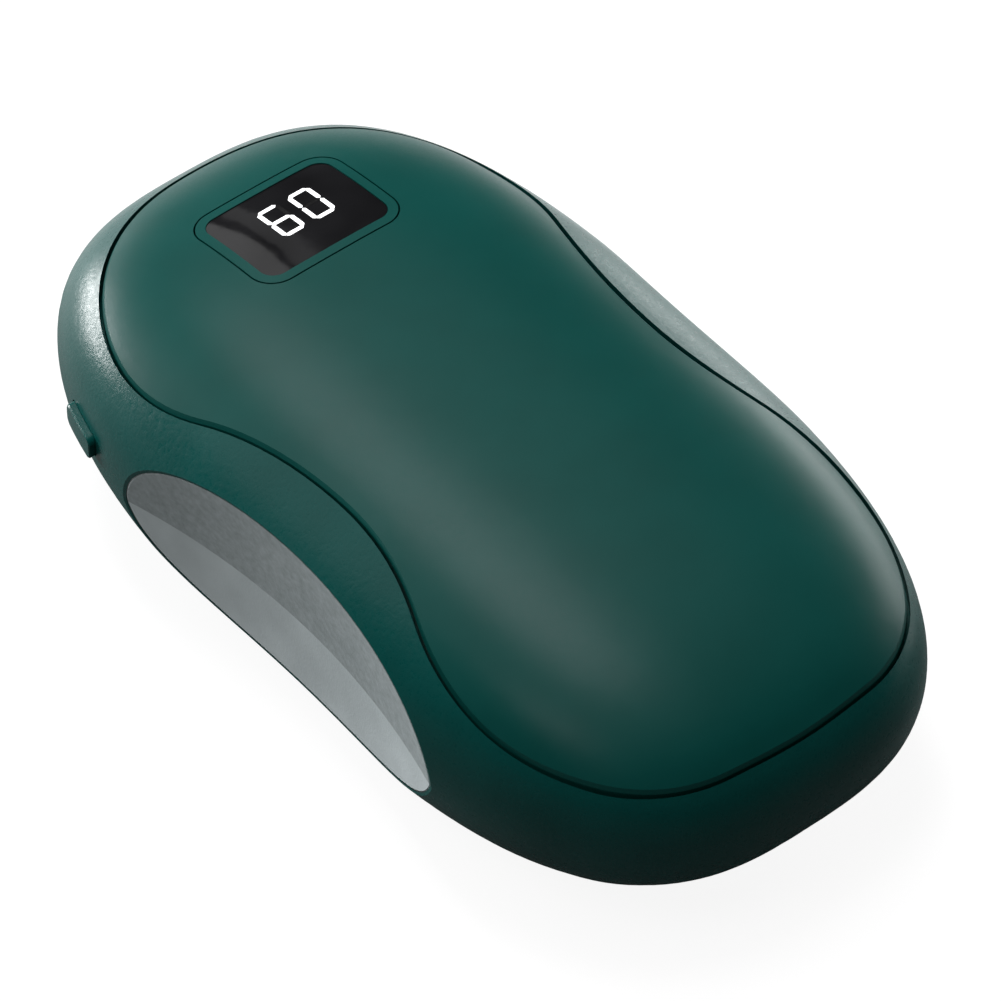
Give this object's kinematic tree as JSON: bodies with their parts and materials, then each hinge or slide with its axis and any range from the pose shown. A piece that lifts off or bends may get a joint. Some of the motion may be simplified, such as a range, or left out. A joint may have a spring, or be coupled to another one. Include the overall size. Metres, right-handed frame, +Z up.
{
  "type": "rechargeable hand warmer",
  "caption": "Pebble-shaped rechargeable hand warmer with a peanut-shaped heating cover on each face, a digit display, a side press button, soft side grips and a charging port.",
  "frame": {"origin": "middle of the bounding box's underside, on the flat resting land of the lower cover", "axes": "+Y along the length towards the display end, +Z up out of the upper cover, +X to the right of the display, so the button is on the -X flank"},
  "size_m": [0.0578, 0.1077, 0.0323],
  "materials": {
    "soft_touch_green": "soft-touch satin",
    "cover_green": "smooth satin",
    "grip_grey": "fine grain",
    "window_black": "polished",
    "lit_white": "diffusing",
    "unlit_grey": "diffusing",
    "reflector_grey": "matte",
    "board_green": "lacquered",
    "part_black": "moulded",
    "connector_cream": "moulded",
    "port_steel": "drawn",
    "screw_steel": "plated",
    "cell_foil": "foil",
    "adhesive": "matte",
    "heater_amber": "film",
    "foam_dark": "open cell",
    "tray_black": "moulded",
    "lead_red": "insulated"
  },
  "bodies": {
    "body": {"main_frame": "soft_touch_green", "top_cover": "cover_green", "bottom_cover": "cover_green", "top_seal": "adhesive", "bottom_seal": "adhesive", "left_grip": "grip_grey", "right_grip": "grip_grey", "display_bezel": "cover_green", "display_window": "window_black", "lit_segments": "lit_white", "unlit_segments": "unlit_grey", "display_module": "reflector_grey", "display_board": "board_green", "display_header": "part_black", "switch_body": "part_black", "main_board": "board_green", "usb_port_shell": "port_steel", "usb_port_tongue": "part_black", "controller_chip": "part_black", "power_inductor": "reflector_grey", "battery_connector": "connector_cream", "lower_cell": "cell_foil", "upper_cell": "cell_foil", "cell_tape": "foam_dark", "protection_board": "board_green", "battery_leads": "lead_red", "battery_tray": "tray_black", "top_heater_film": "heater_amber", "bottom_heater_film": "heater_amber", "top_foam_pad": "foam_dark", "bottom_foam_pad": "foam_dark", "film_sensors": "part_black", "tray_screws": "screw_steel", "board_screws": "screw_steel"},
    "button": {"power_button": "soft_touch_green"},
    "plunger": {"switch_plunger": "connector_cream"}
  },
  "joints": [
    {"name": "button_press", "type": "slide", "parent": "body", "child": "button", "axis": [1, 0, 0], "range_m": [0, 0.0005], "stiffness_N_per_m": 1500},
    {"name": "plunger_press", "type": "slide", "parent": "body", "child": "plunger", "axis": [1, 0, 0], "range_m": [0, 0.0005]}
  ],
  "couplings": [
    {"joint": "plunger_press", "follows": "button_press", "ratio": 1}
  ]
}
